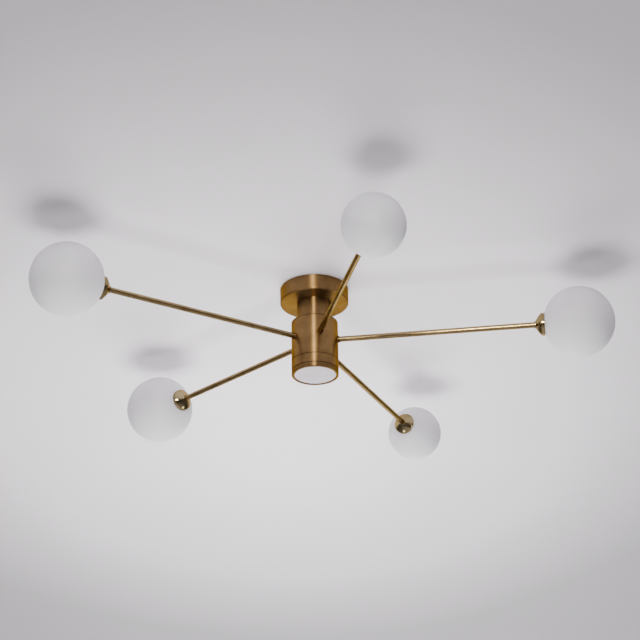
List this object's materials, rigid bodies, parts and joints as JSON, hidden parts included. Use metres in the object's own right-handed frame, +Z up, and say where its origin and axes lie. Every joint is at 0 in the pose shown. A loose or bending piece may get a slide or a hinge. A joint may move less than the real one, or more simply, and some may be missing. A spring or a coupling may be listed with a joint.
{
  "type": "sputnik chandelier",
  "caption": "Close-to-ceiling sputnik chandelier: round canopy, neck and barrel hub with radial arms, opal glass globes and a downlight in the hub.",
  "frame": {"origin": "centre of the ceiling face, on the canopy's rim plane", "axes": "+Z up into the ceiling, along the hub axis; arm 1 points 7.7 degrees clockwise of +X; the picture looks along +Y from below"},
  "size_m": [0.9564, 0.8945, 0.163],
  "materials": {
    "brushed_brass": "brushed antique brass, satin lacquer",
    "polished_brass": "polished brass",
    "opal_glass": "matt opal",
    "opal_acrylic": "opal acrylic",
    "white_ceramic": "unglazed",
    "lamp_envelope": "frosted",
    "zinc_steel": "zinc plated",
    "yellow_brass": "bare",
    "white_plastic": "moulded",
    "driver_plastic": "moulded",
    "board_aluminium": "white solder mask",
    "led_phosphor": "phosphor",
    "lead_sheath": "silicone sheath"
  },
  "bodies": {
    "fixture": {"ceiling_bracket": "zinc_steel", "canopy": "brushed_brass", "canopy_screws": "brushed_brass", "earth_screw": "yellow_brass", "terminal_block": "white_plastic", "terminal_screws": "zinc_steel", "supply_lead": "lead_sheath", "centre_nipple": "zinc_steel", "nipple_washers": "zinc_steel", "nipple_nuts": "zinc_steel", "neck_sleeve": "brushed_brass", "hub_barrel": "brushed_brass", "junction_block": "white_plastic", "driver_lead": "lead_sheath", "led_driver": "driver_plastic", "driver_screws": "zinc_steel", "module_housing": "brushed_brass", "led_leads": "lead_sheath", "led_board": "board_aluminium", "led_chips": "led_phosphor", "board_screws": "zinc_steel", "reflector": "white_plastic", "root_collars": "polished_brass", "root_saddles": "zinc_steel", "root_nuts": "zinc_steel", "cup_ferrules": "polished_brass", "arm_tube_1": "polished_brass", "globe_cup_1": "polished_brass", "lampholder_1": "white_ceramic", "arm_lead_1": "lead_sheath", "arm_tube_2": "polished_brass", "globe_cup_2": "polished_brass", "lampholder_2": "white_ceramic", "arm_lead_2": "lead_sheath", "arm_tube_3": "polished_brass", "globe_cup_3": "polished_brass", "lampholder_3": "white_ceramic", "arm_lead_3": "lead_sheath", "arm_tube_4": "polished_brass", "globe_cup_4": "polished_brass", "lampholder_4": "white_ceramic", "arm_lead_4": "lead_sheath", "arm_tube_5": "polished_brass", "globe_cup_5": "polished_brass", "lampholder_5": "white_ceramic", "arm_lead_5": "lead_sheath"},
    "bezel": {"bezel_ring": "brushed_brass", "diffuser_disc": "opal_acrylic"},
    "globe_1": {"glass_globe_1": "opal_glass"},
    "lamp_1": {"lamp_1": "lamp_envelope"},
    "globe_2": {"glass_globe_2": "opal_glass"},
    "lamp_2": {"lamp_2": "lamp_envelope"},
    "globe_3": {"glass_globe_3": "opal_glass"},
    "lamp_3": {"lamp_3": "lamp_envelope"},
    "globe_4": {"glass_globe_4": "opal_glass"},
    "lamp_4": {"lamp_4": "lamp_envelope"},
    "globe_5": {"glass_globe_5": "opal_glass"},
    "lamp_5": {"lamp_5": "lamp_envelope"}
  },
  "joints": [
    {"name": "bezel_unscrew", "type": "slide", "parent": "fixture", "child": "bezel", "axis": [0, 0, -1], "range_m": [0, 0.02]},
    {"name": "globe_unscrew_1", "type": "slide", "parent": "fixture", "child": "globe_1", "axis": [0.991, -0.134, 0], "range_m": [0, 0.07]},
    {"name": "lamp_pull_1", "type": "slide", "parent": "fixture", "child": "lamp_1", "axis": [0.991, -0.134, 0], "range_m": [0, 0.018]},
    {"name": "globe_unscrew_2", "type": "slide", "parent": "fixture", "child": "globe_2", "axis": [0.4242, 0.9056, 0], "range_m": [0, 0.07]},
    {"name": "lamp_pull_2", "type": "slide", "parent": "fixture", "child": "lamp_2", "axis": [0.4242, 0.9056, 0], "range_m": [0, 0.018]},
    {"name": "globe_unscrew_3", "type": "slide", "parent": "fixture", "child": "globe_3", "axis": [-0.7206, 0.6934, 0], "range_m": [0, 0.07]},
    {"name": "lamp_pull_3", "type": "slide", "parent": "fixture", "child": "lamp_3", "axis": [-0.7206, 0.6934, 0], "range_m": [0, 0.018]},
    {"name": "globe_unscrew_4", "type": "slide", "parent": "fixture", "child": "globe_4", "axis": [-0.859, -0.512, 0], "range_m": [0, 0.07]},
    {"name": "lamp_pull_4", "type": "slide", "parent": "fixture", "child": "lamp_4", "axis": [-0.859, -0.512, 0], "range_m": [0, 0.018]},
    {"name": "globe_unscrew_5", "type": "slide", "parent": "fixture", "child": "globe_5", "axis": [0.2267, -0.974, 0], "range_m": [0, 0.07]},
    {"name": "lamp_pull_5", "type": "slide", "parent": "fixture", "child": "lamp_5", "axis": [0.2267, -0.974, 0], "range_m": [0, 0.018]}
  ]
}
